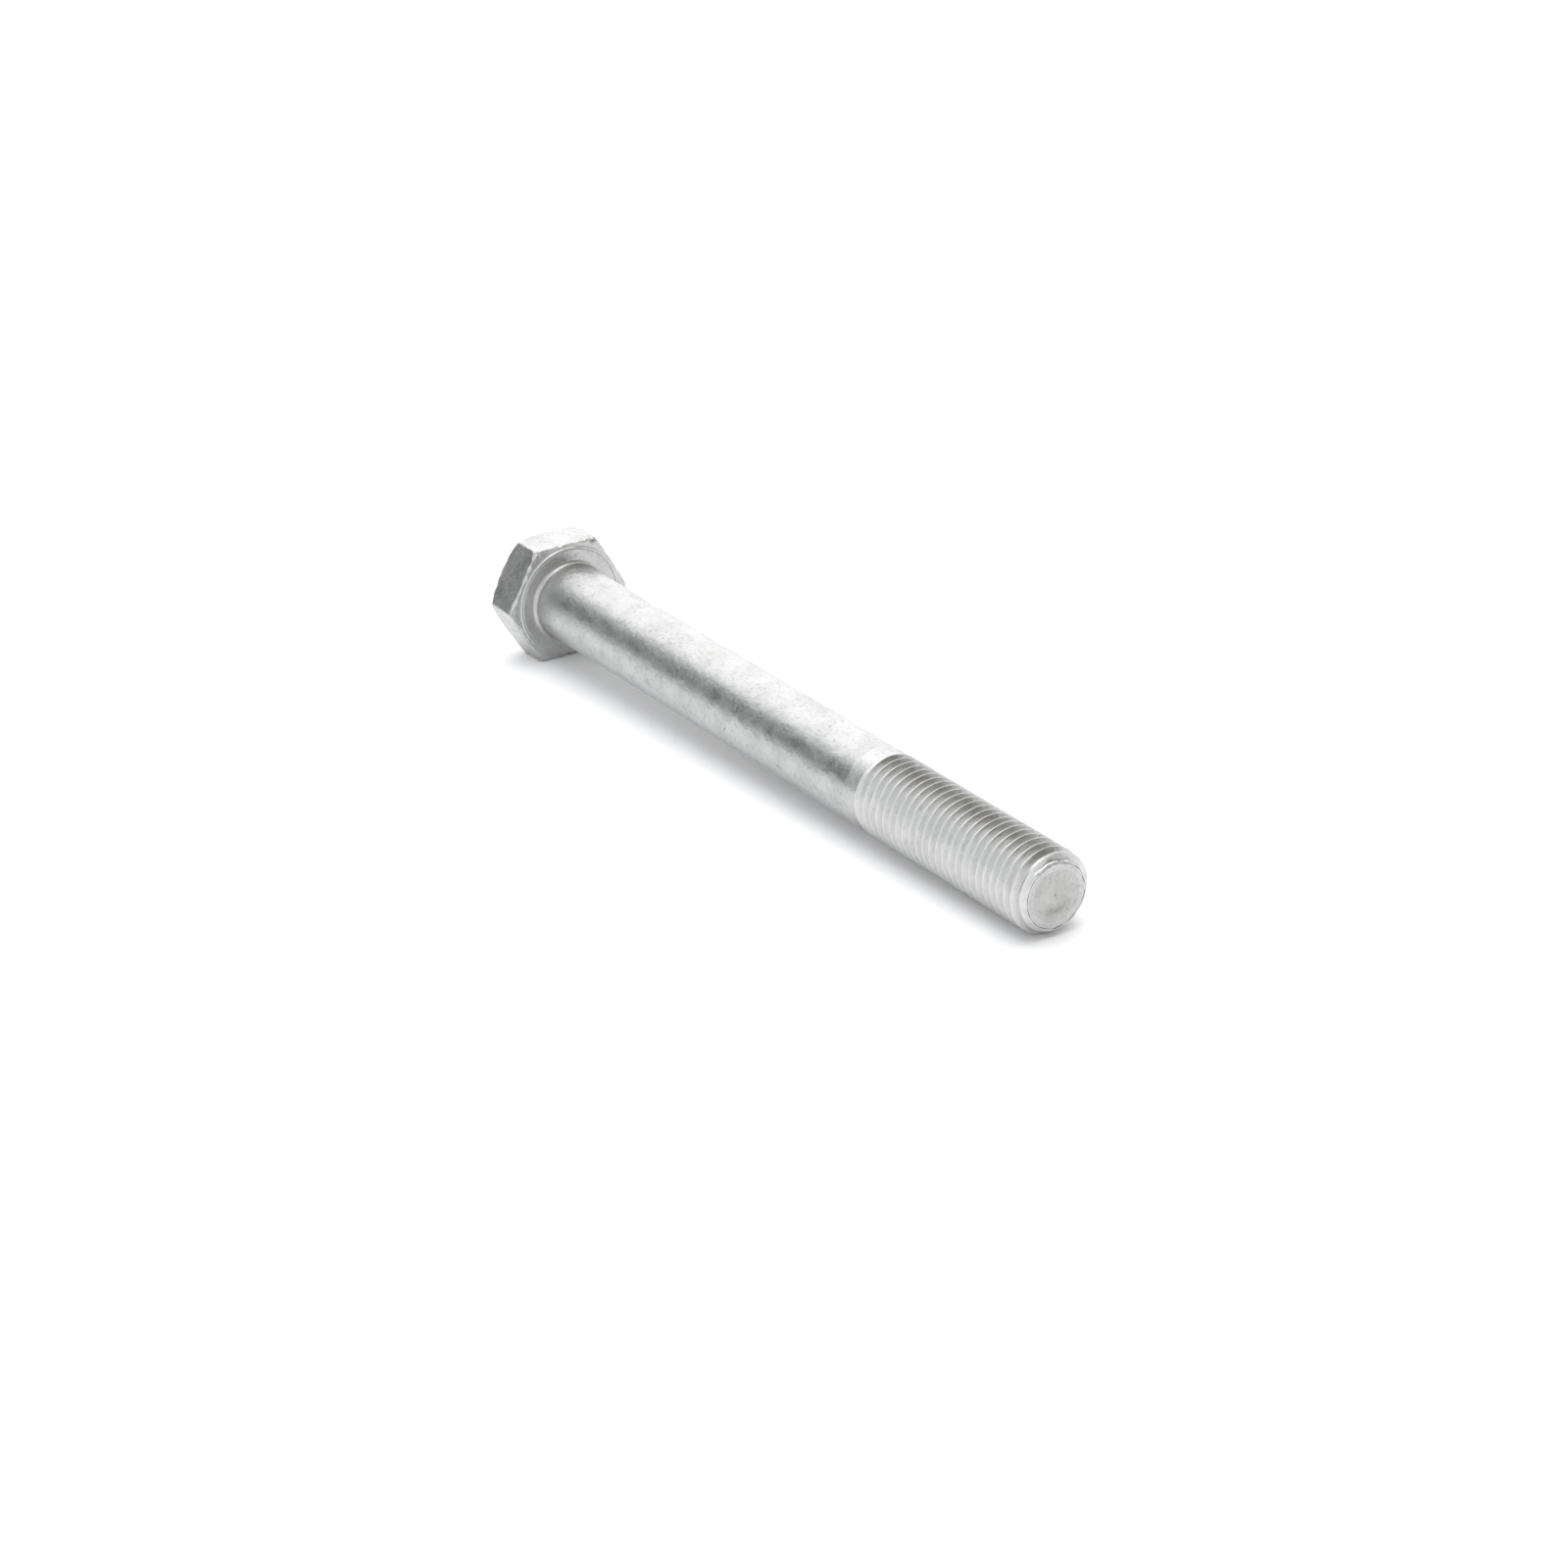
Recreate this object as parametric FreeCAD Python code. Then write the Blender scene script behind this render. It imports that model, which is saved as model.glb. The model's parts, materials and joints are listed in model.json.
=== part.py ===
import FreeCAD, Part
import math
import os

# Hex head bolt, M24 x 3 x 240, partly threaded, with a washer face under the head.
# One forged steel blank with a rolled thread, so the bolt is one solid.
# The bolt lies along X: head on the -X side, threaded end on the +X side.
# The origin is the centre of the washer face, which is the face that clamps.
# Two of the six flats of the head face up and down (+Z and -Z).

# Driving dimensions, in millimetres and degrees
BOLT_LENGTH = 240.0
HEAD_HEIGHT = 14.7
ACROSS_FLATS = 35.6
TOP_CHAMFER_RADIUS = 15.4
TOP_CHAMFER_ANGLE = 30.0
UNDER_CHAMFER_RADIUS = 17.3
UNDER_CHAMFER_ANGLE = 20.0
WASHER_FACE_RADIUS = 16.8
WASHER_FACE_HEIGHT = 0.6
FILLET_RADIUS = 1.3
SHANK_RADIUS = 11.75
NECK_START = 160.0
NECK_END = 164.4
NECK_RADIUS = 11.15
THREAD_START = 167.0
THREAD_RADIUS = 11.92
THREAD_PITCH = 3.0
THREAD_DEPTH = 1.84
FLANK_ANGLE = 30.0
CREST_FLAT = THREAD_PITCH / 8
LEAD_IN_LENGTH = 1.5
POINT_RADIUS = 9.5
POINT_LENGTH = 2.6
DISH_RADIUS = 7.6
DISH_DEPTH = 0.6

# Worked out from the driving dimensions
CORNER_RADIUS = ACROSS_FLATS / 2 / math.cos(math.radians(30))
ROOT_RADIUS = THREAD_RADIUS - THREAD_DEPTH
UNDERSIDE = -WASHER_FACE_HEIGHT
OVERCUT = 0.5
CREST_OVERCUT = 0.2

X_AXIS = FreeCAD.Vector(1, 0, 0)
Y_AXIS = FreeCAD.Vector(0, 1, 0)
Z_AXIS = FreeCAD.Vector(0, 0, 1)
ORIGIN = FreeCAD.Vector(0, 0, 0)


def at(x, radius):
    """A point of a turned outline: along the axis, and out from it."""
    return FreeCAD.Vector(x, radius, 0)


def turned(edges):
    """The solid made by turning a closed outline about the bolt's axis."""
    face = Part.Face(Part.Wire(edges))
    return face.revolve(ORIGIN, X_AXIS, 360)


def polyline(points):
    """Straight edges that join the points in order."""
    return [Part.makeLine(a, b) for a, b in zip(points, points[1:])]


def hex_prism():
    """The six flats of the head, before any edge is chamfered."""
    corners = []
    for side in range(7):
        angle = math.radians(60 * side)
        corners.append(FreeCAD.Vector(-HEAD_HEIGHT, CORNER_RADIUS * math.cos(angle),
                                      CORNER_RADIUS * math.sin(angle)))
    return Part.Face(Part.makePolygon(corners)).extrude(X_AXIS * (HEAD_HEIGHT - WASHER_FACE_HEIGHT))


def chamfer_envelope():
    """A turned body whose cones cut the corners of the head on both sides."""
    outer = CORNER_RADIUS + OVERCUT
    top_rise = (outer - TOP_CHAMFER_RADIUS) * math.tan(math.radians(TOP_CHAMFER_ANGLE))
    under_rise = (outer - UNDER_CHAMFER_RADIUS) * math.tan(math.radians(UNDER_CHAMFER_ANGLE))
    outline = [
        at(-HEAD_HEIGHT, 0),
        at(-HEAD_HEIGHT, TOP_CHAMFER_RADIUS),
        at(-HEAD_HEIGHT + top_rise, outer),
        at(UNDERSIDE - under_rise, outer),
        at(UNDERSIDE, UNDER_CHAMFER_RADIUS),
        at(UNDERSIDE, 0),
        at(-HEAD_HEIGHT, 0),
    ]
    return turned(polyline(outline))


def head():
    """The chamfered hex with the round washer face standing on its underside."""
    washer_face = Part.makeCylinder(WASHER_FACE_RADIUS, WASHER_FACE_HEIGHT + OVERCUT,
                                    at(UNDERSIDE - OVERCUT, 0), X_AXIS)
    return hex_prism().common(chamfer_envelope()).fuse(washer_face)


def shank():
    """The plain shaft from inside the head to the thread: fillet, shank and tapered neck."""
    fillet_middle = FILLET_RADIUS * (1 - math.sqrt(0.5))
    fillet = Part.Arc(at(0, SHANK_RADIUS + FILLET_RADIUS),
                      at(fillet_middle, SHANK_RADIUS + fillet_middle),
                      at(FILLET_RADIUS, SHANK_RADIUS)).toShape()
    outline = polyline([
        at(FILLET_RADIUS, SHANK_RADIUS),
        at(NECK_START, SHANK_RADIUS),
        at(NECK_END, NECK_RADIUS),
        at(NECK_END, 0),
        at(UNDERSIDE - OVERCUT, 0),
        at(UNDERSIDE - OVERCUT, SHANK_RADIUS + FILLET_RADIUS),
        at(0, SHANK_RADIUS + FILLET_RADIUS),
    ])
    return turned([fillet] + outline)


def point_envelope():
    """The turned outline of the threaded end: its lead-in, its point and its dished face."""
    sphere_radius = (DISH_RADIUS ** 2 + DISH_DEPTH ** 2) / (2 * DISH_DEPTH)
    middle_angle = math.asin(DISH_RADIUS / sphere_radius) / 2
    dish_bottom = BOLT_LENGTH - DISH_DEPTH
    dish = Part.Arc(at(BOLT_LENGTH, DISH_RADIUS),
                    at(dish_bottom + sphere_radius * (1 - math.cos(middle_angle)),
                       sphere_radius * math.sin(middle_angle)),
                    at(dish_bottom, 0)).toShape()
    outline = polyline([
        at(dish_bottom, 0),
        at(NECK_END, 0),
        at(NECK_END, NECK_RADIUS),
        at(NECK_END + LEAD_IN_LENGTH, THREAD_RADIUS),
        at(NECK_END + LEAD_IN_LENGTH + OVERCUT, THREAD_RADIUS + OVERCUT),
        at(BOLT_LENGTH - POINT_LENGTH - OVERCUT, THREAD_RADIUS + OVERCUT),
        at(BOLT_LENGTH - POINT_LENGTH, THREAD_RADIUS),
        at(BOLT_LENGTH, POINT_RADIUS),
        at(BOLT_LENGTH, DISH_RADIUS),
    ])
    return turned(outline + [dish])


def groove_profile():
    """The cutter's outline at the start of the helix: a vee with a narrow flat root."""
    slope = math.tan(math.radians(FLANK_ANGLE))
    top = THREAD_RADIUS + CREST_OVERCUT
    half_root = (THREAD_PITCH - CREST_FLAT) / 2 - THREAD_DEPTH * slope
    half_top = half_root + (top - ROOT_RADIUS) * slope
    points = [
        FreeCAD.Vector(ROOT_RADIUS, 0, THREAD_START - half_root),
        FreeCAD.Vector(top, 0, THREAD_START - half_top),
        FreeCAD.Vector(top, 0, THREAD_START + half_top),
        FreeCAD.Vector(ROOT_RADIUS, 0, THREAD_START + half_root),
    ]
    return Part.makePolygon(points + points[:1])


def helical_cutter():
    """The solid that the thread groove takes up, standing along Z."""
    height = BOLT_LENGTH + THREAD_PITCH - THREAD_START
    spine = Part.makeHelix(THREAD_PITCH, height, ROOT_RADIUS)
    spine.translate(FreeCAD.Vector(0, 0, THREAD_START))
    sweep = Part.BRepOffsetAPI.MakePipeShell(Part.Wire(spine.Edges))
    sweep.setBiNormalMode(Z_AXIS)
    sweep.add(groove_profile())
    sweep.build()
    sweep.makeSolid()
    return sweep.shape()


def along_x(shape):
    """Lay a shape that was built along Z down along X, and turn its start towards +Y."""
    laid = shape.copy()
    laid.rotate(ORIGIN, Y_AXIS, 90)
    laid.rotate(ORIGIN, X_AXIS, 90)
    return laid


def threaded_end():
    """A rod that the groove runs clear of at its far end, then trimmed to the point."""
    rod_length = BOLT_LENGTH + 2 * THREAD_PITCH - NECK_END
    rod = Part.makeCylinder(THREAD_RADIUS, rod_length, at(NECK_END, 0), X_AXIS)
    return rod.cut(along_x(helical_cutter())).common(point_envelope())


def hex_bolt():
    """The whole bolt."""
    return head().fuse([shank(), threaded_end()]).removeSplitter().Solids[0]


os.makedirs("parts", exist_ok=True)
bolt = hex_bolt()
bolt.exportStep("parts/hex_bolt.step")
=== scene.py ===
import json
import math

import bpy
import numpy as np
from mathutils import Matrix, Vector


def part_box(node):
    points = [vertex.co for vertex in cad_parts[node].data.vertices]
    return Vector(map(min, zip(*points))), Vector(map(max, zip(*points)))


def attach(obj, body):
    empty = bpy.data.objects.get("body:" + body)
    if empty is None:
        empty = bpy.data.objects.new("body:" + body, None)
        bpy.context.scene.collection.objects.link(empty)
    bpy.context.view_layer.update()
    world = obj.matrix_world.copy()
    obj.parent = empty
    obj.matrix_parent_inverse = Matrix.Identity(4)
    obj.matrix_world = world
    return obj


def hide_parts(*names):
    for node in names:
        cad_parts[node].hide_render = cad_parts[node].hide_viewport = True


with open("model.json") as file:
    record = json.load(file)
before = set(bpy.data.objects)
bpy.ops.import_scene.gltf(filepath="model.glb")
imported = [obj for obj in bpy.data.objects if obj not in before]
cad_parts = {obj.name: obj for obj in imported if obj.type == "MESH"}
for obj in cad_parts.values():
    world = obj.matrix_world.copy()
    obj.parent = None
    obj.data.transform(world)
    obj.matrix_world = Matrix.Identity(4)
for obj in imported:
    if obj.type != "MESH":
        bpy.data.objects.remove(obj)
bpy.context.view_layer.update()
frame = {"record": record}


# Lengths are in millimetres and angles in degrees. The mesh is scaled to metres when it is made.
MM = 0.001
MOUNTS = {mount["name"]: mount for mount in frame["record"]["mounts"]}
LOW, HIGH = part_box("hex_bolt")

BOLT_LENGTH = HIGH.x / MM
HEAD_HEIGHT = -LOW.x / MM
HALF_FLATS = HIGH.z / MM
SHANK_RADIUS = MOUNTS["shank"]["dims"]["r_mm"]
THREAD_RADIUS = MOUNTS["thread"]["dims"]["r_mm"]
THREAD_LENGTH = MOUNTS["thread"]["dims"]["length_mm"]

# Head
TOP_CHAMFER_RADIUS = 15.4
TOP_CHAMFER_SLOPE = math.tan(math.radians(30))
TOP_CORNER_DROP = 0.5
UNDER_BEVEL = 0.45
UNDER_DROOP = 0.1
WASHER_FACE_RADIUS = 16.8
WASHER_FACE_HEIGHT = 0.6
WASHER_LINE_RADIUS = WASHER_FACE_RADIUS - 0.7
WASHER_LINE_DEPTH = 0.15
WASHER_LINE_HALF_WIDTH = 0.15
FILLET_RADIUS = 1.3

# Neck: its end is a short parallel step after the taper
NECK_START = 160.0
NECK_LENGTH = 4.2
NECK_END = 164.4
NECK_RADIUS = 11.15
NECK_LIP = 0.1

# Thread
THREAD_PITCH = 3.0
THREAD_DEPTH = 1.84
CREST_HALF_FLAT = 0.07
CREST_ROUNDING = 0.08
ROOT_ROUNDING = 1.0
FLANK_SLOPE = math.tan(math.radians(60))
CREST_X = BOLT_LENGTH - THREAD_LENGTH - THREAD_PITCH / 2
RUN_OUT_START = NECK_END - 0.2
RUN_OUT_END = NECK_END + 1.6

# Point and end face
POINT_RADIUS = 9.5
POINT_LENGTH = 2.6
POINT_ROUNDING = 0.2
RIM_START = BOLT_LENGTH - 0.7
FACE_X = BOLT_LENGTH - 0.03
DISH_RADIUS = 7.6
DISH_DEPTH = 0.6

# Highlight and wear run from 0 to 1: painted highlight on the thread, its crests, the head's bevels
# and the rims, partly real wear. Shade and stain is a faint olive tint up to 1 (painted shade in
# roots and creases, and a stain on the end face) and painted dark shade beyond it.
ROLLED_SHINE = 0.75
CREST_HIGHLIGHT_AND_WEAR_POWER = 12
GROOVE_SHADE = 0.4
FACE_STAIN = 0.65
NECK_END_SHADE = 1.2
CRACK_SHADE = 1.2

# Mesh fineness
SEGMENTS = 240
CORNER_CROWDING = 0.62
HEX_SHARPNESS = 70
SHANK_RING_GAP = 0.6
PROFILE_SAMPLES = (0.0, 0.05, 0.10, 0.18, 0.34, 0.62, 0.94, 1.22, 1.50)

EVEN_ANGLES = np.arange(SEGMENTS) * 2 * math.pi / SEGMENTS
ONES = np.ones(SEGMENTS)


# Shared shapes

def smoothstep(low, high, value):
    """0 below low, 1 above high, and a smooth rise between them."""
    share = np.clip((value - low) / (high - low), 0.0, 1.0)
    return share * share * (3 - 2 * share)


def soft_min(a, b, width):
    """The smaller of two heights, with the crease between them rounded over a width."""
    near = np.maximum(width - np.abs(a - b), 0.0) / width
    return np.minimum(a, b) - near * near * width / 4


def soft_max(a, b, width):
    """The larger of two heights, with the crease between them rounded over a width."""
    return -soft_min(-a, -b, width)


def wobble(angle, seed, waves):
    """Unevenness round the bolt, roughly from -1 to 1, made of waves that close up after a turn."""
    rng = np.random.default_rng(seed)
    total = np.zeros_like(angle)
    for count in range(1, waves + 1):
        total = total + rng.normal() * np.cos(count * angle + rng.uniform(0, 2 * math.pi))
    return np.clip(total / math.sqrt(waves), -1.0, 1.0)


def hex_angles():
    """The angle of each segment round the head, closer together at the six corners."""
    step = np.arange(SEGMENTS) * 6 / SEGMENTS
    side = np.floor(step)
    across = 2 * (step - side) - 1
    within = across + CORNER_CROWDING * np.sin(math.pi * across) / math.pi
    return math.radians(60) * (side + (within + 1) / 2)


def hex_radius(angle):
    """How far out the six flats stand at an angle, with the corners between them rounded."""
    total = np.zeros_like(angle)
    for side in range(6):
        facing = np.cos(angle - math.radians(30 + 60 * side)) / HALF_FLATS
        total = total + np.maximum(facing, 0.0) ** HEX_SHARPNESS
    return total ** (-1.0 / HEX_SHARPNESS)


def thread_radius(x, angle):
    """The radius of the rolled thread, and how proud of its root it stands, from 0 to 1."""
    turns = (x - CREST_X) / THREAD_PITCH - angle / (2 * math.pi)
    from_crest = np.abs((turns + 0.5) % 1.0 - 0.5) * THREAD_PITCH
    flank = THREAD_RADIUS + (CREST_HALF_FLAT - from_crest) * FLANK_SLOPE
    rolled = soft_min(flank, THREAD_RADIUS + 0 * flank, CREST_ROUNDING)
    rolled = soft_max(rolled, THREAD_RADIUS - THREAD_DEPTH + 0 * flank, ROOT_ROUNDING)
    formed = smoothstep(RUN_OUT_START, RUN_OUT_END, x)
    radius = NECK_RADIUS + (rolled - NECK_RADIUS) * formed
    point = POINT_RADIUS + (BOLT_LENGTH - x) * (THREAD_RADIUS - POINT_RADIUS) / POINT_LENGTH
    radius = soft_min(radius, point, POINT_ROUNDING)
    proud = 1.0 - (THREAD_RADIUS - rolled) / THREAD_DEPTH
    return radius, np.clip(1 + (proud - 1) * formed, 0.0, 1.0)


# The skin of the bolt is a stack of rings from the crown to the tip, with a helical strip
# between two of the rings for the thread

class Skin:
    """Points, faces and each point's painted highlight and wear, and painted shade and stain, built
    up ring by ring.
    """

    def __init__(self):
        self.points = []
        self.edge = []
        self.recess = []
        self.faces = []
        self.last = None

    def add(self, x, radius, angle, edge=0.0, recess=0.0):
        """Adds points given as length along, distance out and angle round the axis."""
        x, radius, angle, edge, recess = np.broadcast_arrays(x, radius, angle, edge, recess)
        first = len(self.points)
        placed = np.stack([x, radius * np.cos(angle), radius * np.sin(angle)], -1)
        self.points.extend(placed.reshape(-1, 3))
        self.edge.extend(edge.ravel())
        self.recess.extend(recess.ravel())
        return np.arange(first, first + x.size).reshape(x.shape)

    def ring(self, x, radius, angle=EVEN_ANGLES, edge=0.0, recess=0.0):
        """Adds a ring of points and joins it to the ring before."""
        added = self.add(x * ONES, radius, angle, edge, recess)
        if self.last is not None:
            corners = [self.last, np.roll(self.last, -1), np.roll(added, -1), added]
            self.faces.extend(np.stack(corners, -1))
        self.last = added
        return added

    def cap(self, x, ring):
        """Closes a ring with a fan of triangles to a point on the axis."""
        centre = np.full(SEGMENTS, self.add(x, 0.0, 0.0))
        after = np.roll(ring, -1)
        if x < 0:
            self.faces.extend(np.stack([centre, after, ring], -1))
        else:
            self.faces.extend(np.stack([ring, after, centre], -1))

    def helix(self, start, end, crest, offsets, pitch, surface):
        """Adds a helical strip between a ring at start, already there, and a new ring at end.

        Points beyond either ring are put on it, so the strip runs out against both rings.
        """
        low_ring = self.last
        end_radius, end_proud = surface(end * ONES, EVEN_ANGLES)
        high_ring = self.add(end * ONES, end_radius, EVEN_ANGLES, ROLLED_SHINE,
                             GROOVE_SHADE * (1 - end_proud))
        turns = math.ceil((end - crest) / pitch) + 1
        steps = np.concatenate([np.array(offsets) + turn * pitch for turn in range(-2, turns)])
        angle = np.append(EVEN_ANGLES, 2 * math.pi)
        x = crest + steps[:, None] + angle[None, :] * pitch / (2 * math.pi)
        snap = 0.06
        inside = (x > start + snap) & (x < end - snap)
        inside[:, -1] = False
        index = np.where(x <= start + snap, np.append(low_ring, low_ring[0]),
                         np.append(high_ring, high_ring[0]))
        angles = np.broadcast_to(angle, x.shape)
        radius, proud = surface(x, angles)
        # Painted highlight over the thread, brightest on the crests, partly crest wear, and painted
        # shade in the roots.
        shine_and_wear = ROLLED_SHINE + (1 - ROLLED_SHINE) * proud ** CREST_HIGHLIGHT_AND_WEAR_POWER
        root_shade = GROOVE_SHADE * (1 - proud)
        index[inside] = self.add(x[inside], radius[inside], angles[inside],
                                 shine_and_wear[inside], root_shade[inside])
        per_turn = len(offsets)
        index[:-per_turn, -1] = index[per_turn:, 0]
        for row in range(len(steps) - per_turn - 1):
            for a, b, c, d in zip(index[row], index[row, 1:], index[row + 1, 1:], index[row + 1]):
                corners = [k for k, after in zip((a, b, c, d), (b, c, d, a)) if k != after]
                if len(set(corners)) > 2:
                    self.faces.append(corners)
        self.last = high_ring


def eased(corners, roundings, steps=4):
    """A path through corners, each eased by a curve that begins and ends a rounding away from it.

    Every entry is (length along, distance out, painted highlight and wear, highest at the middle of
    each rounding), each an array with one value a segment.
    """
    path = [(corners[0][0], corners[0][1], 0.0)]
    for before, corner, after, rounding in zip(corners, corners[1:], corners[2:], roundings):
        ends = []
        for other in (before, after):
            along, out = other[0] - corner[0], other[1] - corner[1]
            length = np.hypot(along, out) + 1e-9
            reach = np.minimum(rounding, 0.45 * length) / length
            ends.append((corner[0] + along * reach, corner[1] + out * reach))
        for step in range(steps + 1):
            t = step / steps
            weights = ((1 - t) ** 2, 2 * t * (1 - t), t ** 2)
            x, radius = (
                weights[0] * ends[0][axis] + weights[1] * corner[axis] + weights[2] * ends[1][axis]
                for axis in (0, 1)
            )
            path.append((x, radius, math.sin(math.pi * t)))
    path.append((corners[-1][0], corners[-1][1], 0.0))
    return path


def filled(path, longest):
    """The same path with more entries wherever two neighbours are far apart."""
    result = [path[0]]
    for start, end in zip(path, path[1:]):
        gap = float(np.max(np.hypot(end[0] - start[0], end[1] - start[1])))
        pieces = max(1, math.ceil(gap / longest))
        for piece in range(1, pieces + 1):
            t = piece / pieces
            result.append(tuple(a + (b - a) * t for a, b in zip(start, end)))
    return result


def build_head(skin):
    """The crown, top chamfer, flats, under bevel, washer face and fillet."""
    spread = hex_angles()
    flats = hex_radius(spread)
    fillet_foot = SHANK_RADIUS + FILLET_RADIUS
    top_edge = (-HEAD_HEIGHT + (flats - TOP_CHAMFER_RADIUS) * TOP_CHAMFER_SLOPE
                + TOP_CORNER_DROP * smoothstep(HALF_FLATS + 0.6, HALF_FLATS + 2.6, flats))
    bevel = UNDER_BEVEL * (1 + 0.75 * wobble(spread, 5, 40))
    under_edge = -WASHER_FACE_HEIGHT - UNDER_DROOP * (flats - HALF_FLATS)
    corners = [
        (-HEAD_HEIGHT * ONES, 2.0 * ONES),
        (-HEAD_HEIGHT * ONES, TOP_CHAMFER_RADIUS * ONES),
        (top_edge, flats),
        (under_edge - bevel, flats),
        (under_edge, flats - bevel),
        (-WASHER_FACE_HEIGHT * ONES, (WASHER_FACE_RADIUS + 0.1) * ONES),
        (0 * ONES, WASHER_FACE_RADIUS * ONES),
        (0 * ONES, (WASHER_LINE_RADIUS + WASHER_LINE_HALF_WIDTH) * ONES),
        (-WASHER_LINE_DEPTH * ONES, WASHER_LINE_RADIUS * ONES),
        (0 * ONES, (WASHER_LINE_RADIUS - WASHER_LINE_HALF_WIDTH) * ONES),
        (0 * ONES, fillet_foot * ONES),
    ]
    roundings = [0.9, 0.45, 0.12, 0.12, 0.06, 0.3, 0.06, 0.06, 0.06]
    path = filled(eased(corners, roundings), 1.3)
    first = None
    # Painted highlight along each rounded edge of the head, partly wear.
    for x, radius, shine_and_wear in path:
        on_face = (x > -0.3) * (1 - smoothstep(fillet_foot, WASHER_FACE_RADIUS - 0.4, radius))
        ring = skin.ring(x, radius, spread + (EVEN_ANGLES - spread) * on_face, shine_and_wear)
        first = ring if first is None else first
    skin.cap(-HEAD_HEIGHT, first)
    # Painted shade over the fillet, darkest where it meets the shank.
    fillet_steps = 8
    for step in range(1, fillet_steps + 1):
        turn = math.radians(90) * step / fillet_steps
        skin.ring(FILLET_RADIUS * (1 - math.cos(turn)),
                  fillet_foot - FILLET_RADIUS * math.sin(turn),
                  recess=math.sin(turn) * 0.8)


def build_shank(skin):
    """The plain body and the neck that tapers down to where the thread begins."""
    count = round((NECK_START - FILLET_RADIUS) / SHANK_RING_GAP)
    for x in np.linspace(FILLET_RADIUS, NECK_START - 0.25, count)[1:]:
        skin.ring(x, SHANK_RADIUS)
    # Painted shade at the foot of the lip, painted highlight on the lip, and painted dark shade at
    # the neck's end.
    skin.ring(NECK_START - 0.1, SHANK_RADIUS + 0.02, recess=0.5)
    skin.ring(NECK_START, SHANK_RADIUS + NECK_LIP, edge=0.8)
    for share in np.linspace(0.05, 1, 14):
        skin.ring(NECK_START + share * NECK_LENGTH,
                  SHANK_RADIUS + NECK_LIP + (NECK_RADIUS - SHANK_RADIUS - NECK_LIP) * share,
                  edge=0.8 * (share < 0.1))
    skin.ring(NECK_END, NECK_RADIUS, recess=NECK_END_SHADE)


def build_thread(skin):
    """The rolled thread, which runs out into the neck and over the point."""
    rising = [THREAD_PITCH - offset for offset in PROFILE_SAMPLES[-2:0:-1]]
    offsets = list(PROFILE_SAMPLES) + rising
    skin.helix(NECK_END, RIM_START, CREST_X, offsets, THREAD_PITCH, thread_radius)


def build_tip(skin):
    """The rim of the point and the shallow dish in the end face."""
    start_radius = thread_radius(RIM_START * ONES, EVEN_ANGLES)[0]
    torn = 0.5 + 0.5 * wobble(EVEN_ANGLES, 7, 14)
    lip = POINT_RADIUS - 0.05 + 0.15 * wobble(EVEN_ANGLES, 8, 9)
    corners = [
        (RIM_START * ONES, start_radius),
        ((BOLT_LENGTH - 0.55) * ONES, np.maximum(start_radius - 0.45 * torn, lip + 0.05)),
        ((BOLT_LENGTH - 0.3) * ONES, lip + 0.35),
        (BOLT_LENGTH * ONES, lip),
        (BOLT_LENGTH - 0.12 - 0.1 * torn, lip - 0.25),
        (FACE_X * ONES, lip - 0.5),
        (FACE_X * ONES, DISH_RADIUS * ONES),
    ]
    crack_corner = 4
    # Painted highlight on the rim up to the crack, painted dark shade in the crack, darker where it
    # is torn deeper, and the end face's stain on the dish.
    for number, (x, radius, shine_and_wear) in enumerate(eased(corners, [0.12, 0.2, 0.15, 0.1, 0.2], 2)[1:]):
        corner = 1 + number // 3
        in_crack = corner == crack_corner
        shine = ROLLED_SHINE * (corner < crack_corner)
        skin.ring(x, radius, edge=max(shine, shine_and_wear * (not in_crack)),
                  recess=(CRACK_SHADE + torn) * in_crack)
    for share in np.linspace(0.97, 0.03, 26):
        skin.ring(FACE_X - DISH_DEPTH * (1 - share ** 2), DISH_RADIUS * share, recess=FACE_STAIN)
    skin.cap(FACE_X - DISH_DEPTH, skin.last)


# Handling marks: shallow waviness everywhere, and nicks where edges stand out

def waviness(points, seed, length, height):
    """Slow unevenness of a forged or rolled surface, as a sum of random plane waves."""
    rng = np.random.default_rng(seed)
    total = np.zeros(len(points))
    waves = 14
    for _ in range(waves):
        direction = rng.normal(size=3)
        rate = 2 * math.pi / (length * rng.uniform(0.6, 1.7))
        direction *= rate / np.linalg.norm(direction)
        total += np.cos(points @ direction + rng.uniform(0, 2 * math.pi))
    return height * total / math.sqrt(waves)


def radial(points):
    """The unit direction out from the axis at each point."""
    out = points * (0, 1, 1)
    return out / np.maximum(np.linalg.norm(out, axis=1), 1e-6)[:, None]


def press_in(surface, centre, direction, width, depth, hollow_shade=0.0):
    """Pushes a small round hollow into the surface at a centre, and darkens it with painted shade.
    """
    points, recess = surface
    near = np.exp(-(np.linalg.norm(points - centre, axis=1) / width) ** 2)
    points -= (depth * near)[:, None] * direction
    recess += hollow_shade * near


def polar(x, radius, angle):
    """A point given as length along, distance out and angle round the axis."""
    return np.array([x, radius * math.cos(angle), radius * math.sin(angle)])


# How many small marks there are of each kind
THREAD_KNOCKS = 70
HEAD_KNOCKS = 60
SHANK_DENTS = 70
TIP_CHIPS = 10

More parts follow.
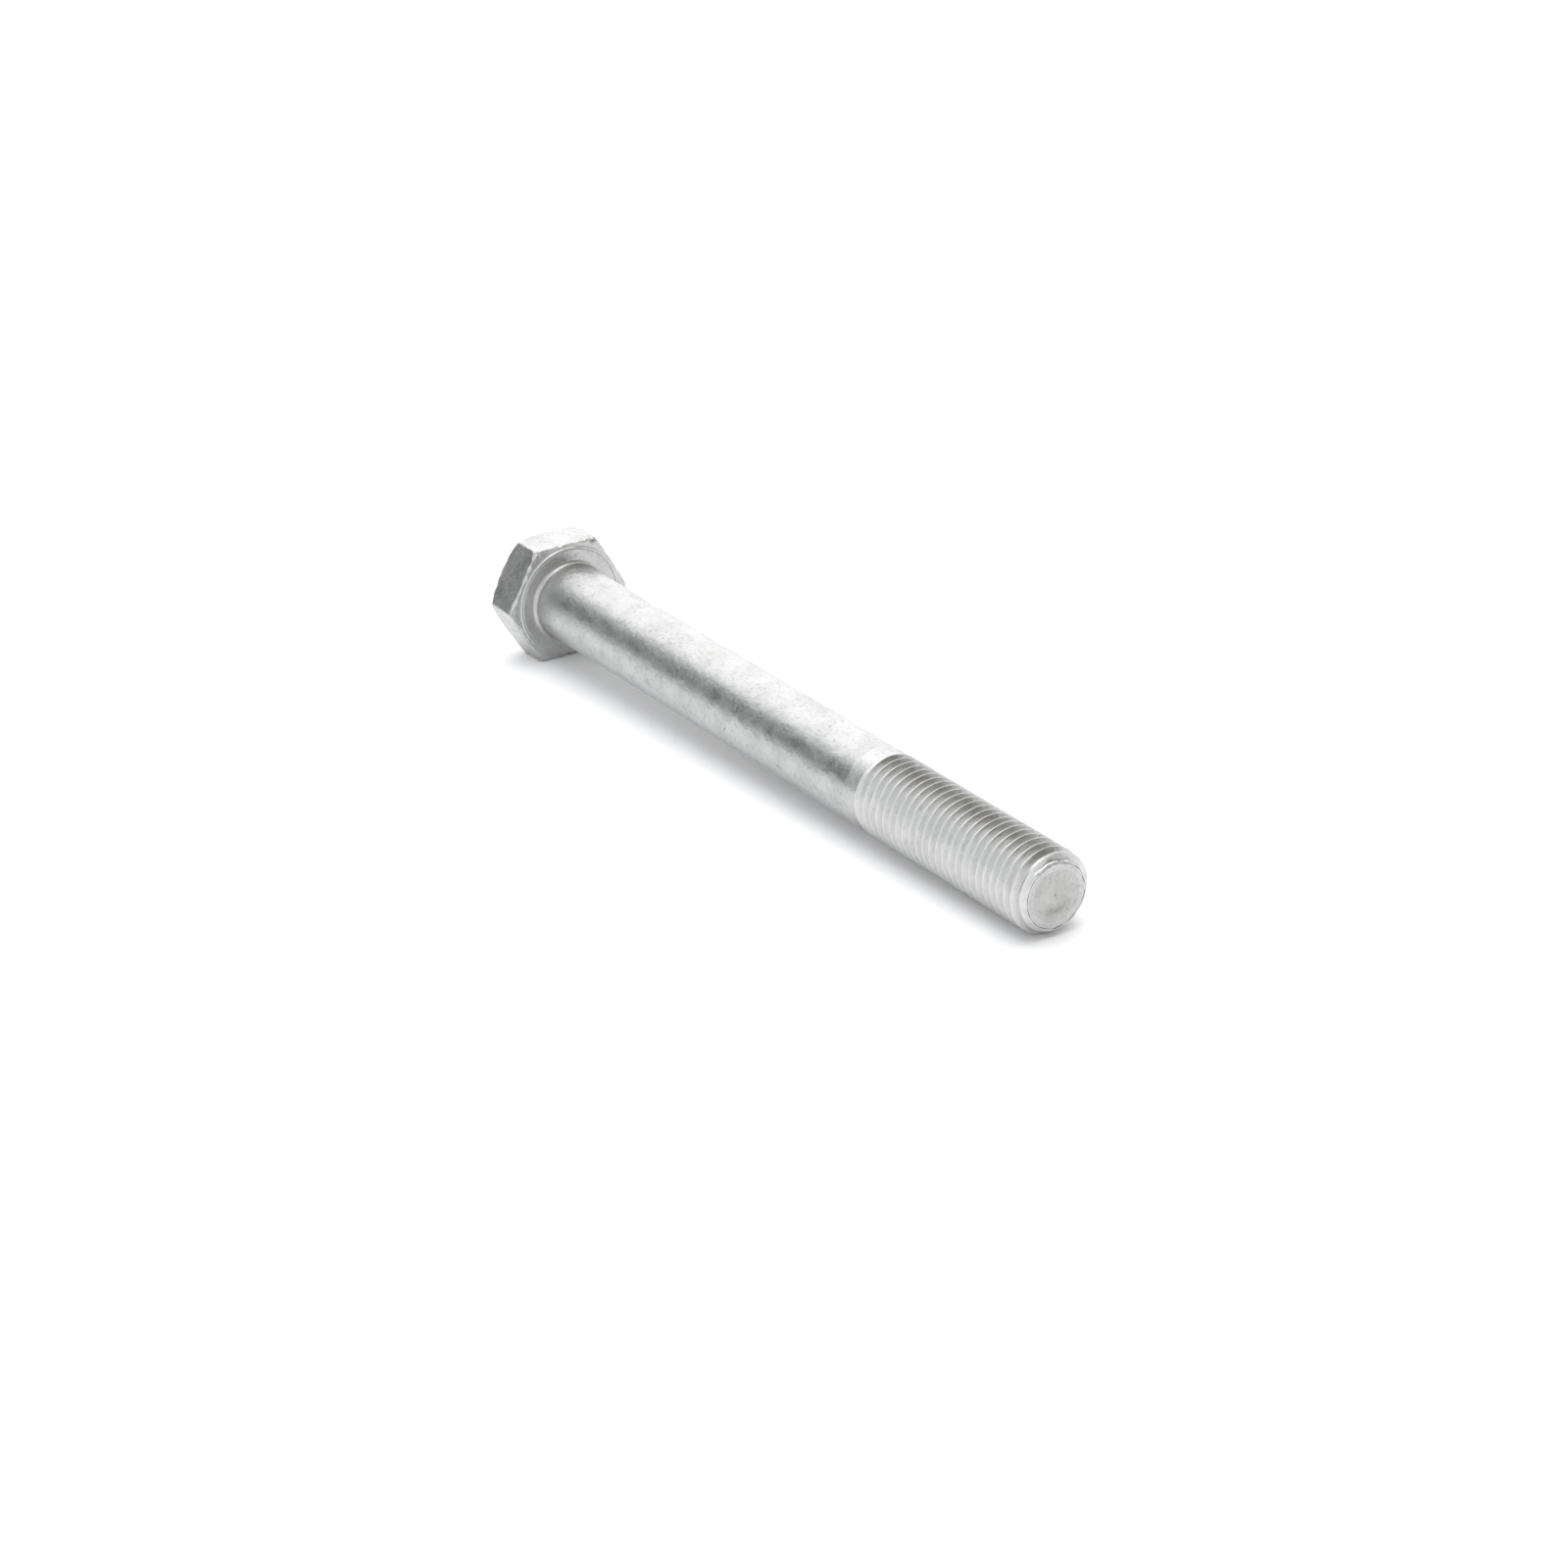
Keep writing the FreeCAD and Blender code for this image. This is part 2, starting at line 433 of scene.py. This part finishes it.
# The larger chips: length along, angle round the bolt, width and depth
THREAD_CHIPS = (
    (191.6, 133, 0.75, 0.5),
    (186.8, 141, 0.5, 0.3),
    (201.3, 118, 0.5, 0.3),
    (171.0, 176, 0.5, 0.3),
)
HEAD_CHIPS = (
    (-0.9, 120, 0.8, 0.6),
    (-1.2, 63, 1.2, 0.6),
    (-1.0, 178, 0.9, 0.4),
    (-1.3, 72, 0.7, 0.35),
    (-0.9, 97, 0.6, 0.3),
    (-1.4, 238, 1.0, 0.35),
)


def mark_thread(surface, rng):
    """Small flats knocked into the crests, and a few larger chips."""
    for _ in range(THREAD_KNOCKS):
        angle = rng.uniform(0, 2 * math.pi)
        turn = rng.integers(1, 23)
        x = NECK_END + (turn + angle / (2 * math.pi)) * THREAD_PITCH
        direction = polar(rng.uniform(-0.3, 0.3), 1.0, angle)
        press_in(surface, polar(x, THREAD_RADIUS, angle), direction, rng.uniform(0.35, 0.9),
                 rng.uniform(0.08, 0.3), rng.uniform(0, 0.8))
    for along, degrees, width, depth in THREAD_CHIPS:
        angle = math.radians(degrees)
        press_in(surface, polar(along, THREAD_RADIUS - 0.4, angle), polar(0, 1, angle),
                 width, depth, 2.0)


def mark_head(surface, rng):
    """Knocks on the edges and corners of the head."""
    for _ in range(HEAD_KNOCKS):
        angle = rng.uniform(0, 2 * math.pi)
        flats = float(hex_radius(np.array(angle)))
        if rng.random() < 0.6:
            x = -WASHER_FACE_HEIGHT - UNDER_BEVEL / 2
            lean = 0.7
        else:
            x = -HEAD_HEIGHT + (flats - TOP_CHAMFER_RADIUS) * TOP_CHAMFER_SLOPE
            lean = -0.7
        press_in(surface, polar(x, flats, angle), polar(lean, 0.7, angle), rng.uniform(0.5, 1.3),
                 rng.uniform(0.04, 0.18), rng.uniform(0, 0.7))
    for along, degrees, width, depth in HEAD_CHIPS:
        angle = math.radians(degrees)
        flats = float(hex_radius(np.array(angle)))
        press_in(surface, polar(along, flats, angle), polar(0.7, 0.7, angle), width, depth, 1.3)


def mark_shank(surface, rng):
    """Shallow dents in the plain body."""
    for _ in range(SHANK_DENTS):
        angle = rng.uniform(0, 2 * math.pi)
        centre = polar(rng.uniform(6, NECK_START - 4), SHANK_RADIUS, angle)
        press_in(surface, centre, polar(0, 1.0, angle),
                 rng.uniform(0.7, 2.0), rng.uniform(0.03, 0.09), rng.uniform(0, 0.8))


def mark_tip(surface, rng):
    """Painted shade in the last groove, darkest towards its root, and chips round the end face."""
    points, recess = surface
    groove_depth = THREAD_RADIUS - np.hypot(points[:, 1], points[:, 2])
    from_end = BOLT_LENGTH - points[:, 0]
    in_last_groove = (from_end < 6.2) & (from_end > POINT_LENGTH)
    recess += 1.1 * in_last_groove * smoothstep(0.3, 1.4, groove_depth)
    for _ in range(TIP_CHIPS):
        angle = rng.uniform(0, 2 * math.pi)
        press_in(surface, polar(BOLT_LENGTH, POINT_RADIUS, angle), polar(0.6, 0.8, angle),
                 rng.uniform(0.4, 1.0), rng.uniform(0.08, 0.25), rng.uniform(0, 0.5))


CRESCENT_RADIUS = 4.6
CRESCENT_WIDTH = 1.2
DOT_WIDTH = 0.4


def mark_end_face(surface):
    """Painted shade on the end face: a dark dot at the centre and a darker crescent on the lower
    side of the dish.
    """
    points, recess = surface
    out = np.hypot(points[:, 1], points[:, 2])
    on_face = points[:, 0] > BOLT_LENGTH - 0.8
    below = smoothstep(0.35, 0.95, -points[:, 2] / np.maximum(out, 1e-6))
    crescent = 0.8 * np.exp(-((out - CRESCENT_RADIUS) / CRESCENT_WIDTH) ** 2) * below
    dot = 1.5 * np.exp(-(out / DOT_WIDTH) ** 2)
    recess += on_face * (crescent + dot)


def finished_surface(skin):
    """The skin's points and their painted shade and stain, with every mark of making and handling
    put in.
    """
    points = np.array(skin.points, float)
    rng = np.random.default_rng(24)
    on_head = 1 - smoothstep(-0.2, 0.2, points[:, 0])
    on_thread = smoothstep(NECK_END, NECK_END + 3, points[:, 0])
    height = 0.012 + 0.03 * on_head + 0.012 * on_thread
    offset = (waviness(points, 1, 30, 1.0) + 0.8 * waviness(points, 2, 9, 1.0)) * height
    points += radial(points) * offset[:, None]
    surface = (points, np.array(skin.recess, float))
    mark_thread(surface, rng)
    mark_head(surface, rng)
    mark_shank(surface, rng)
    mark_tip(surface, rng)
    mark_end_face(surface)
    return surface


def bolt_object():
    """The finished bolt as one closed mesh, with its painted highlight and wear and its painted
    shade and stain kept on the points.
    """
    skin = Skin()
    build_head(skin)
    build_shank(skin)
    build_thread(skin)
    build_tip(skin)
    mesh = bpy.data.meshes.new("bolt_skin")
    points, recess = finished_surface(skin)
    mesh.from_pydata((points * MM).tolist(), [], [list(map(int, face)) for face in skin.faces])
    for name, values in (("edge", skin.edge), ("recess", recess)):
        attribute = mesh.attributes.new(name, "FLOAT", "POINT")
        attribute.data.foreach_set("value", np.array(values, np.float32))
    mesh.shade_smooth()
    mesh.update()
    bolt = bpy.data.objects.new("bolt_skin", mesh)
    bpy.context.scene.collection.objects.link(bolt)
    return bolt


# Materials

class Nodes:
    """A short way to add and join shader nodes."""

    def __init__(self, tree):
        self.tree = tree

    def add(self, kind, inputs=None, **settings):
        """Adds a node, sets its properties, and feeds its inputs from values or other sockets."""
        node = self.tree.nodes.new(kind)
        for name, value in settings.items():
            setattr(node, name, value)
        for name, value in (inputs or {}).items():
            if isinstance(value, bpy.types.NodeSocket):
                self.tree.links.new(value, node.inputs[name])
            else:
                node.inputs[name].default_value = value
        return node

    def noise(self, vector, scale, detail=3.0, roughness=0.55):
        """A noise value from 0 to 1."""
        return self.add("ShaderNodeTexNoise", {"Vector": vector, "Scale": scale, "Detail": detail,
                                               "Roughness": roughness}).outputs["Fac"]

    def remap(self, value, low, high, to_low=0.0, to_high=1.0):
        """A value spread smoothly from one range onto another."""
        return self.add("ShaderNodeMapRange", {"Value": value, "From Min": low, "From Max": high,
                                               "To Min": to_low, "To Max": to_high},
                        interpolation_type="SMOOTHSTEP").outputs["Result"]

    def maths(self, operation, a, b=0.0):
        """One arithmetic step."""
        return self.add("ShaderNodeMath", {0: a, 1: b}, operation=operation).outputs[0]

    def blend(self, share, a, b):
        """One colour fading into another."""
        node = self.add("ShaderNodeMix", {0: share}, data_type="RGBA")
        for socket, value in ((node.inputs[6], a), (node.inputs[7], b)):
            if isinstance(value, bpy.types.NodeSocket):
                self.tree.links.new(value, socket)
            else:
                socket.default_value = value
        return node.outputs[2]

    def stretched(self, vector, scale):
        """The same coordinates, drawn out or squeezed along each axis."""
        return self.add("ShaderNodeMapping", {"Vector": vector, "Scale": scale}).outputs[0]

    def attribute(self, name):
        """A value kept on the mesh's points."""
        return self.add("ShaderNodeAttribute", attribute_name=name).outputs["Fac"]


def new_material(name):
    """An empty material: its node helper and its shader."""
    material = bpy.data.materials.new(name)
    material.use_nodes = True
    nodes = Nodes(material.node_tree)
    return material, nodes, material.node_tree.nodes["Principled BSDF"]


PALE_ZINC = (0.525, 0.527, 0.525, 1)
GREY_ZINC = (0.48, 0.482, 0.478, 1)
SPECKLE_GREY = (0.27, 0.27, 0.265, 1)
SPECK_GREY = (0.12, 0.12, 0.115, 1)
SCRATCH_GREY = (0.16, 0.16, 0.155, 1)
# The olive is painted shade in roots and creases and a faint stain on the end face, the near-black
# is painted dark shade, and the bright grey is painted highlight, partly wear.
SHADE_AND_STAIN_OLIVE = (0.25, 0.24, 0.17, 1)
SHADE_BLACK = (0.06, 0.06, 0.055, 1)
HIGHLIGHT_AND_WEAR_BRIGHT = (0.68, 0.68, 0.67, 1)


def zinc_plating():
    """Bright zinc on forged steel: mottled, with painted shade in the roots, creases and chips, a
    faint stain on the end face, and painted highlight on the edges, partly wear.
    """
    material, nodes, shader = new_material("zinc_plated_steel")
    place = nodes.add("ShaderNodeTexCoord").outputs["Object"]
    edge = nodes.attribute("edge")
    recess = nodes.attribute("recess")

    clouds = nodes.noise(place, 150.0, 4.0)
    dimples = nodes.noise(place, 330.0, 2.0)
    speckle = nodes.noise(place, 900.0, 3.0, 0.65)
    specks = nodes.noise(place, 1700.0, 1.0)
    grain = nodes.noise(place, 3500.0, 2.0)
    streaks = nodes.noise(nodes.stretched(place, (0.06, 1.0, 1.0)), 1500.0, 3.0)
    rings = nodes.noise(nodes.stretched(place, (1.0, 0.05, 0.05)), 2600.0, 3.0)
    slant = nodes.add("ShaderNodeMapping", {"Vector": place, "Rotation": (0.4, 0.7, 0.5)})
    scratches = nodes.noise(nodes.stretched(slant.outputs[0], (0.10, 1.0, 1.0)), 1300.0, 1.0)
    scratched = nodes.remap(scratches, 0.715, 0.755)

    colour = nodes.blend(nodes.remap(clouds, 0.35, 0.7), PALE_ZINC, GREY_ZINC)
    layers = (
        (nodes.remap(speckle, 0.52, 0.74, 0.0, 0.5), SPECKLE_GREY),
        (nodes.remap(specks, 0.67, 0.78, 0.0, 0.65), SPECK_GREY),
        (nodes.maths("MULTIPLY", scratched, 0.5), SCRATCH_GREY),
        # Painted shade and stain, painted dark shade in cracks, grooves and chips, and painted
        # highlight with wear on crests, bevels and rims.
        (nodes.remap(recess, 0.1, 1.0, 0.0, 0.3), SHADE_AND_STAIN_OLIVE),
        (nodes.remap(recess, 1.0, 2.2, 0.0, 0.9), SHADE_BLACK),
        (nodes.remap(edge, 0.4, 1.0, 0.0, 0.8), HIGHLIGHT_AND_WEAR_BRIGHT),
    )
    for share, tint in layers:
        colour = nodes.blend(share, colour, tint)
    nodes.tree.links.new(colour, shader.inputs["Base Color"])

    roughness = nodes.remap(clouds, 0.3, 0.7, 0.34, 0.44)
    roughness = nodes.maths("ADD", roughness, nodes.remap(speckle, 0.45, 0.75, -0.03, 0.10))
    roughness = nodes.maths("SUBTRACT", roughness, nodes.maths("MULTIPLY", edge, 0.02))
    nodes.tree.links.new(roughness, shader.inputs["Roughness"])
    shader.inputs["Metallic"].default_value = 1.0

    height = nodes.maths("MULTIPLY", dimples, 1.3)
    for relief, share in ((speckle, 0.55), (grain, 0.2), (streaks, 0.12), (rings, 0.10)):
        height = nodes.maths("ADD", height, nodes.maths("MULTIPLY", relief, share))
    height = nodes.maths("SUBTRACT", height, nodes.maths("MULTIPLY", scratched, 0.15))
    bump = nodes.add("ShaderNodeBump", {"Height": height, "Strength": 0.6, "Distance": 0.0002})
    nodes.tree.links.new(bump.outputs["Normal"], shader.inputs["Normal"])
    return material


def paper_floor():
    """A plain pale sheet."""
    material, _, shader = new_material("floor")
    shader.inputs["Base Color"].default_value = (0.95, 0.95, 0.95, 1)
    shader.inputs["Roughness"].default_value = 0.9
    shader.inputs["Specular IOR Level"].default_value = 0.1
    return material


# The studio

FLOOR_SIZE = 24.0
FLOOR_GAP = 0.02
HEAD_CONTACT_X = -1.0
TIP_CONTACT_X = 236.0


def lay_floor():
    """A level sheet that touches the lowest flat of the head and the thread near the point.

    The bolt's frame is level along its axis, so the sheet slopes in that frame.
    """
    slope = math.atan2(HALF_FLATS - THREAD_RADIUS, TIP_CONTACT_X - HEAD_CONTACT_X)
    bpy.ops.mesh.primitive_plane_add(size=FLOOR_SIZE)
    floor = bpy.context.object
    floor.name = "floor"
    contact = Vector((HEAD_CONTACT_X, 0, -HALF_FLATS - FLOOR_GAP)) * MM
    floor.matrix_world = Matrix.Translation(contact) @ Matrix.Rotation(-slope, 4, "Y")
    floor.data.materials.append(paper_floor())


def aim(thing, place, target, roll=0.0):
    """Puts a camera or light at a place, looking at a target. Places are in millimetres."""
    place, target = Vector(place) * MM, Vector(target) * MM
    turn = (target - place).to_track_quat("-Z", "Y").to_matrix().to_4x4()
    rolled = Matrix.Rotation(math.radians(roll), 4, "Z")
    thing.matrix_world = Matrix.Translation(place) @ turn @ rolled


def add_light(name, place, target, width, height, watts):
    """A soft rectangular light."""
    data = bpy.data.lights.new(name, "AREA")
    data.shape = "RECTANGLE"
    data.size, data.size_y = width * MM, height * MM
    data.energy = watts
    light = bpy.data.objects.new(name, data)
    bpy.context.scene.collection.objects.link(light)
    aim(light, place, target)


ROOM_COLOUR = (1.12, 1.13, 1.16, 1)

# Parts of the room that are brighter or darker than the rest: azimuth, elevation, how far each
# reaches, how wide its core is, all in degrees, and its colour
ROOM_SIDES = (
    (152, 30, 62, 20, (1.83, 1.83, 1.83, 1)),
    (32, 30, 40, 14, (0.16, 0.155, 0.105, 1)),
    (217, 13, 33, 8, (0.09, 0.092, 0.092, 1)),
)


def add_world():
    """A pale room, whose darker sides give the metal its long soft dark band."""
    world = bpy.data.worlds.new("room")
    bpy.context.scene.world = world
    world.use_nodes = True
    nodes = Nodes(world.node_tree)
    direction = nodes.add("ShaderNodeTexCoord").outputs["Generated"]
    colour = ROOM_COLOUR
    for azimuth, elevation, reach, core, tone in ROOM_SIDES:
        facing = (math.cos(math.radians(azimuth)) * math.cos(math.radians(elevation)),
                  math.sin(math.radians(azimuth)) * math.cos(math.radians(elevation)),
                  math.sin(math.radians(elevation)))
        towards = nodes.add("ShaderNodeVectorMath", {0: direction, 1: facing},
                            operation="DOT_PRODUCT")
        share = nodes.remap(towards.outputs["Value"], math.cos(math.radians(reach)),
                            math.cos(math.radians(core)))
        colour = nodes.blend(share, colour, tone)
    background = world.node_tree.nodes["Background"]
    world.node_tree.links.new(colour, background.inputs["Color"])
    background.inputs["Strength"].default_value = 1.0


CAMERA_PLACE = (1054.6, -616.0, 522.0)
CAMERA_TARGET = (113.6, 0.0, -16.8)
CAMERA_ROLL = -1.48
SENSOR_WIDTH = 36.0
FOCAL_LENGTH = 102.3


def add_camera():
    """A long lens looking down on the bolt from its threaded end."""
    data = bpy.data.cameras.new("camera")
    data.sensor_width = SENSOR_WIDTH
    data.lens = FOCAL_LENGTH
    data.clip_start = 0.05
    data.clip_end = 100.0
    camera = bpy.data.objects.new("camera", data)
    bpy.context.scene.collection.objects.link(camera)
    aim(camera, CAMERA_PLACE, CAMERA_TARGET, CAMERA_ROLL)
    bpy.context.scene.camera = camera


bolt = bolt_object()
bolt.data.materials.append(zinc_plating())
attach(bolt, "root")
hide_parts("hex_bolt")

lay_floor()
add_world()
add_light("overhead", (120, 0, 2000), (120, 0, 0), 1500, 1500, 14)
add_camera()
bpy.context.scene.view_settings.view_transform = "Standard"
